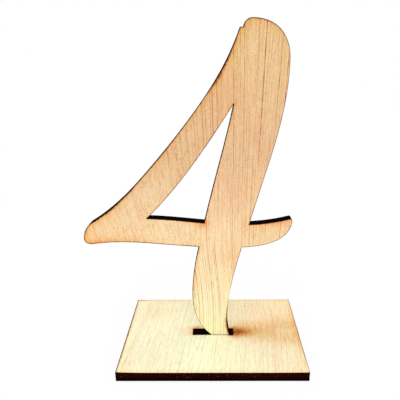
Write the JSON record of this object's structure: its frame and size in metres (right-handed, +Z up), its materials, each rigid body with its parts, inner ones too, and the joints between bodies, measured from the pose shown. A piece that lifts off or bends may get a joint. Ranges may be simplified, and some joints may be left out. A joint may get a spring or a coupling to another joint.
{
  "type": "table number holder",
  "caption": "Plywood numeral that stands upright by its tab in the slot of a flat rectangular plywood base, to mark a table.",
  "frame": {"origin": "middle of the base's underside, in the plane that rests on the table, below the middle of the slot", "axes": "+X to the reader's right along the numeral, +Y away from the reader through the numeral, +Z up"},
  "size_m": [0.1179, 0.065, 0.1737],
  "materials": {
    "face_veneer": "bare pale veneer with a light smoke stain beside the cuts, scorched dark brown at the cut edge",
    "core_veneer": "cross-grain core that shows only at the cut edge, scorched dark brown"
  },
  "bodies": {
    "base": {"base_bottom_veneer": "face_veneer", "base_core": "core_veneer", "base_top_veneer": "face_veneer"},
    "numeral": {"numeral_front_veneer": "face_veneer", "numeral_core": "core_veneer", "numeral_back_veneer": "face_veneer"}
  },
  "joints": [
    {"name": "numeral_lift", "type": "slide", "parent": "base", "child": "numeral", "axis": [0, 0, 1], "range_m": [0, 0.01]}
  ]
}
